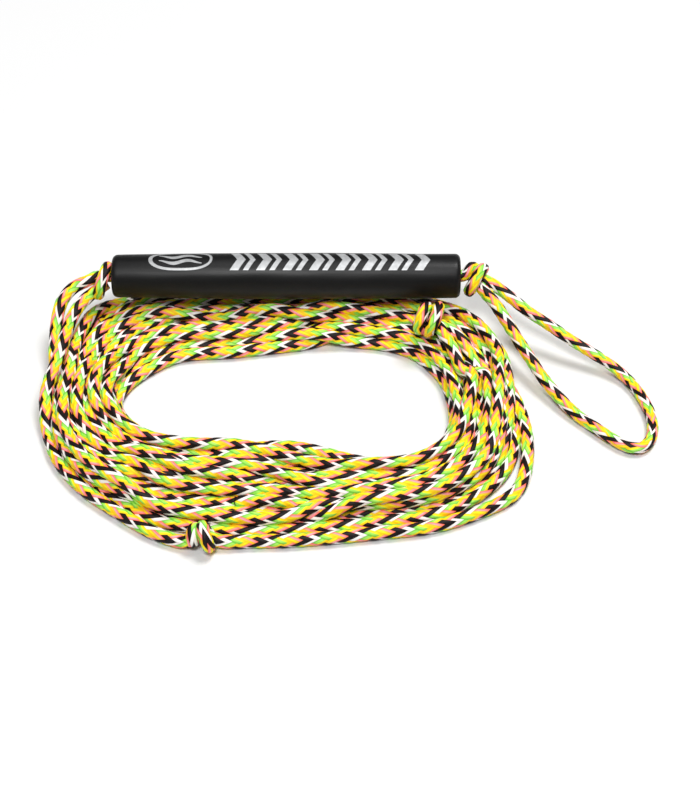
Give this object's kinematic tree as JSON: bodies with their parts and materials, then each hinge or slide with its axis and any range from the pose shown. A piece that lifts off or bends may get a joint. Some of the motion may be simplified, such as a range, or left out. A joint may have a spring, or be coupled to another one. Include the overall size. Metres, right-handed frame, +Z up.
{
  "type": "tow rope handle",
  "caption": "Foam-covered tube handle threaded on a braided multicolour floating rope, held by stopper knots, with a tow loop and the line laid in an open oval coil.",
  "frame": {"origin": "middle of the foam handle, on the axis of its bore", "axes": "+X along the handle towards the tow loop, +Y away from the coil's open side, +Z up; the coil lies on z = -0.050 m"},
  "size_m": [0.516, 0.302, 0.07],
  "materials": {
    "foam": "satin closed-cell foam skin",
    "tube": "matt extruded plastic",
    "bush": "moulded, semi-gloss",
    "rope": "braided multicolour yarns: black, white, green, yellow and pink",
    "print": "silver-grey screen print"
  },
  "bodies": {
    "rope": {"grip_rope": "rope", "left_knot": "rope", "right_knot": "rope", "tow_loop": "rope", "left_lead": "rope", "tail_lead": "rope", "rope_coil": "rope", "outer_turn": "rope", "line_end_knot": "rope", "coil_knot": "rope"},
    "bushes": {"left_end_bush": "bush", "right_end_bush": "bush"},
    "grip": {"foam_grip": "foam", "core_tube": "tube"}
  },
  "joints": [
    {"name": "grip_slide", "type": "slide", "parent": "rope", "child": "bushes", "axis": [1, 0, 0], "range_m": [0, 0.0025]},
    {"name": "grip_spin", "type": "hinge", "parent": "bushes", "child": "grip", "pos_m": [0, 0, 0], "axis": [1, 0, 0], "continuous": true}
  ]
}
